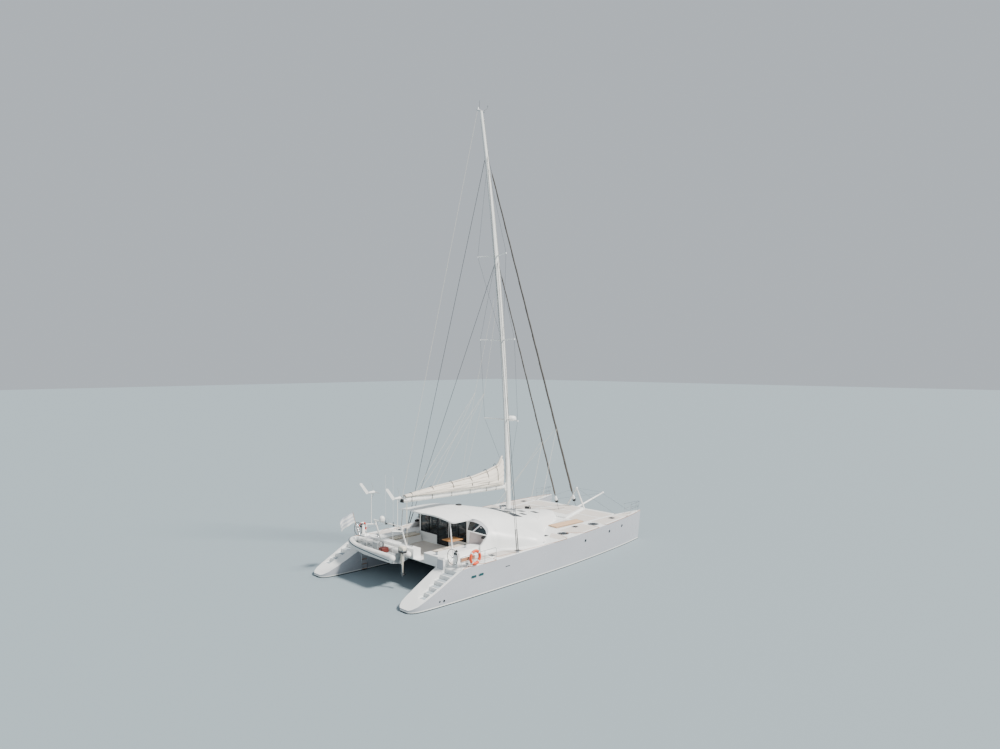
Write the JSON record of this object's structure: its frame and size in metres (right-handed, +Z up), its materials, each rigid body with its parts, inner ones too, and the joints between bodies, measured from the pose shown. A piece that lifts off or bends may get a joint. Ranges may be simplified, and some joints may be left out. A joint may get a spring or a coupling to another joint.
{
  "type": "sailing catamaran",
  "caption": "Cruising sailing catamaran afloat, with raked mast, swinging boom and flaked mainsail, furled headsails, hardtop cockpit, twin helms, rudders and screws, and a tender in davits.",
  "frame": {"origin": "centreline at the waterline, at midship (half of the waterline length)", "axes": "+X towards the bows, +Y to port, +Z up; the floating waterline is the plane z = 0"},
  "size_m": [21.95, 10.0208, 29.62],
  "materials": {
    "topside_gelcoat": "glossy light grey gelcoat with dark antifouling below the boot line",
    "deck_gelcoat": "off-white gelcoat with non-slip panels",
    "antifouling": "dull dark bottom paint",
    "spar_paint": "white two-part paint on alloy",
    "stainless": "polished stainless tube and wire",
    "bronze": "cast bronze",
    "smoked_glass": "smoked acrylic glazing",
    "sailcloth": "cream laminated sailcloth",
    "furled_cover": "dark sun strip of the furled headsails",
    "black_fittings": "black moulded and anodised deck gear",
    "teak": "oiled teak",
    "pad_cloth": "tan acrylic canvas",
    "cushion_cloth": "pale grey acrylic canvas",
    "tender_hypalon": "white coated fabric tube with dark rubbing strake",
    "engine_paint": "dark enamel",
    "cowling": "cream painted cowling"
  },
  "bodies": {
    "root": {"hull_port": "topside_gelcoat", "hull_starboard": "topside_gelcoat", "keel_port": "antifouling", "keel_starboard": "antifouling", "engine_port": "engine_paint", "engine_starboard": "engine_paint", "bridgedeck": "deck_gelcoat", "coachroof": "deck_gelcoat", "windscreen": "smoked_glass", "saloon_bulkhead": "deck_gelcoat", "hardtop": "deck_gelcoat", "front_crossbeam": "spar_paint", "striker_frame": "spar_paint", "bowsprit": "spar_paint", "mast": "spar_paint", "radar_dome": "deck_gelcoat", "outer_headsail": "furled_cover", "inner_headsail": "furled_cover", "cap_shroud_port": "stainless", "cap_shroud_starboard": "stainless", "lower_shroud_port": "stainless", "lower_shroud_starboard": "stainless", "helm_pedestal_port": "deck_gelcoat", "helm_pedestal_starboard": "deck_gelcoat", "bow_pulpit_port": "stainless", "bow_pulpit_starboard": "stainless", "stern_rail_port": "stainless", "stern_rail_starboard": "stainless", "stern_gantry": "spar_paint", "wind_generator_port": "deck_gelcoat", "wind_generator_starboard": "deck_gelcoat", "tender": "tender_hypalon", "ladder_hinge": "stainless", "cockpit_table": "teak", "bench_cushion_port": "cushion_cloth", "bench_cushion_starboard": "cushion_cloth", "sun_pad": "pad_cloth", "windlass": "black_fittings"},
    "boom": {"boom": "spar_paint", "mainsail": "sailcloth"},
    "rudder_port": {"rudder_port": "antifouling"},
    "rudder_starboard": {"rudder_starboard": "antifouling"},
    "helm_wheel_port": {"helm_wheel_port": "black_fittings"},
    "helm_wheel_starboard": {"helm_wheel_starboard": "black_fittings"},
    "propeller_port": {"propeller_port": "bronze"},
    "propeller_starboard": {"propeller_starboard": "bronze"},
    "engine_hatch_port": {"engine_hatch_port": "deck_gelcoat"},
    "engine_hatch_starboard": {"engine_hatch_starboard": "deck_gelcoat"},
    "hull_hatch_aft_port": {"hull_hatch_aft_port": "smoked_glass"},
    "hull_hatch_aft_starboard": {"hull_hatch_aft_starboard": "smoked_glass"},
    "hull_hatch_fore_port": {"hull_hatch_fore_port": "smoked_glass"},
    "hull_hatch_fore_starboard": {"hull_hatch_fore_starboard": "smoked_glass"},
    "saloon_door": {"saloon_door": "stainless"},
    "wind_rotor_port": {"wind_rotor_port": "deck_gelcoat"},
    "wind_rotor_starboard": {"wind_rotor_starboard": "deck_gelcoat"},
    "outboard": {"outboard_motor": "cowling"},
    "outboard_propeller": {"outboard_propeller": "black_fittings"},
    "boarding_ladder": {"boarding_ladder": "stainless"}
  },
  "joints": [
    {"name": "boom_swing", "type": "hinge", "parent": "root", "child": "boom", "pos_m": [1.07, 0, 4.265], "axis": [0, 0, 1], "range_deg": [-42, 42]},
    {"name": "rudder_port_turn", "type": "hinge", "parent": "root", "child": "rudder_port", "pos_m": [-8.95, 4.07, -0.4], "axis": [0, 0, 1], "range_deg": [-35, 35]},
    {"name": "rudder_starboard_turn", "type": "hinge", "parent": "root", "child": "rudder_starboard", "pos_m": [-8.95, -4.07, -0.4], "axis": [0, 0, 1], "range_deg": [-35, 35]},
    {"name": "helm_port_turn", "type": "hinge", "parent": "root", "child": "helm_wheel_port", "pos_m": [-7.25, 4.33, 2.2], "axis": [1, 0, 0], "range_deg": [-355, 355]},
    {"name": "helm_starboard_turn", "type": "hinge", "parent": "root", "child": "helm_wheel_starboard", "pos_m": [-7.25, -4.33, 2.2], "axis": [1, 0, 0], "range_deg": [-355, 355]},
    {"name": "propeller_port_spin", "type": "hinge", "parent": "root", "child": "propeller_port", "pos_m": [-6.54, 4.07, -0.85], "axis": [1, 0, 0], "continuous": true},
    {"name": "propeller_starboard_spin", "type": "hinge", "parent": "root", "child": "propeller_starboard", "pos_m": [-6.54, -4.07, -0.85], "axis": [1, 0, 0], "continuous": true},
    {"name": "engine_hatch_port_lift", "type": "hinge", "parent": "root", "child": "engine_hatch_port", "pos_m": [-4.5, 4.07, 1.708], "axis": [0, 1, 0], "range_deg": [0, 85]},
    {"name": "engine_hatch_starboard_lift", "type": "hinge", "parent": "root", "child": "engine_hatch_starboard", "pos_m": [-4.5, -4.07, 1.708], "axis": [0, 1, 0], "range_deg": [0, 85]},
    {"name": "hatch_aft_port_lift", "type": "hinge", "parent": "root", "child": "hull_hatch_aft_port", "pos_m": [2.342, 4.07, 1.778], "axis": [0, 1, 0], "range_deg": [0, 100]},
    {"name": "hatch_aft_starboard_lift", "type": "hinge", "parent": "root", "child": "hull_hatch_aft_starboard", "pos_m": [2.342, -4.07, 1.778], "axis": [0, 1, 0], "range_deg": [0, 100]},
    {"name": "hatch_fore_port_lift", "type": "hinge", "parent": "root", "child": "hull_hatch_fore_port", "pos_m": [5.392, 4.07, 1.857], "axis": [0, 1, 0], "range_deg": [0, 100]},
    {"name": "hatch_fore_starboard_lift", "type": "hinge", "parent": "root", "child": "hull_hatch_fore_starboard", "pos_m": [5.392, -4.07, 1.857], "axis": [0, 1, 0], "range_deg": [0, 100]},
    {"name": "saloon_door_slide", "type": "slide", "parent": "root", "child": "saloon_door", "axis": [0, 1, 0], "range_m": [0, 0.95]},
    {"name": "wind_rotor_port_spin", "type": "hinge", "parent": "root", "child": "wind_rotor_port", "pos_m": [-7.5, 2.3, 4.75], "axis": [1, 0, 0], "continuous": true},
    {"name": "wind_rotor_starboard_spin", "type": "hinge", "parent": "root", "child": "wind_rotor_starboard", "pos_m": [-7.5, -0.22, 4.75], "axis": [1, 0, 0], "continuous": true},
    {"name": "outboard_steer", "type": "hinge", "parent": "root", "child": "outboard", "pos_m": [-8.03, -0.93, 1.59], "axis": [0, 0, 1], "range_deg": [-35, 35]},
    {"name": "outboard_propeller_spin", "type": "hinge", "parent": "outboard", "child": "outboard_propeller", "pos_m": [-8.03, -1.255, 0.85], "axis": [0, 1, 0], "continuous": true},
    {"name": "ladder_swing", "type": "hinge", "parent": "root", "child": "boarding_ladder", "pos_m": [-7.6, 3.15, 1.2], "axis": [-1, 0, 0], "range_deg": [0, 85]}
  ],
  "couplings": [
    {"joint": "rudder_starboard_turn", "follows": "rudder_port_turn", "ratio": 1},
    {"joint": "helm_port_turn", "follows": "rudder_port_turn", "ratio": 10},
    {"joint": "helm_starboard_turn", "follows": "rudder_port_turn", "ratio": 10}
  ]
}
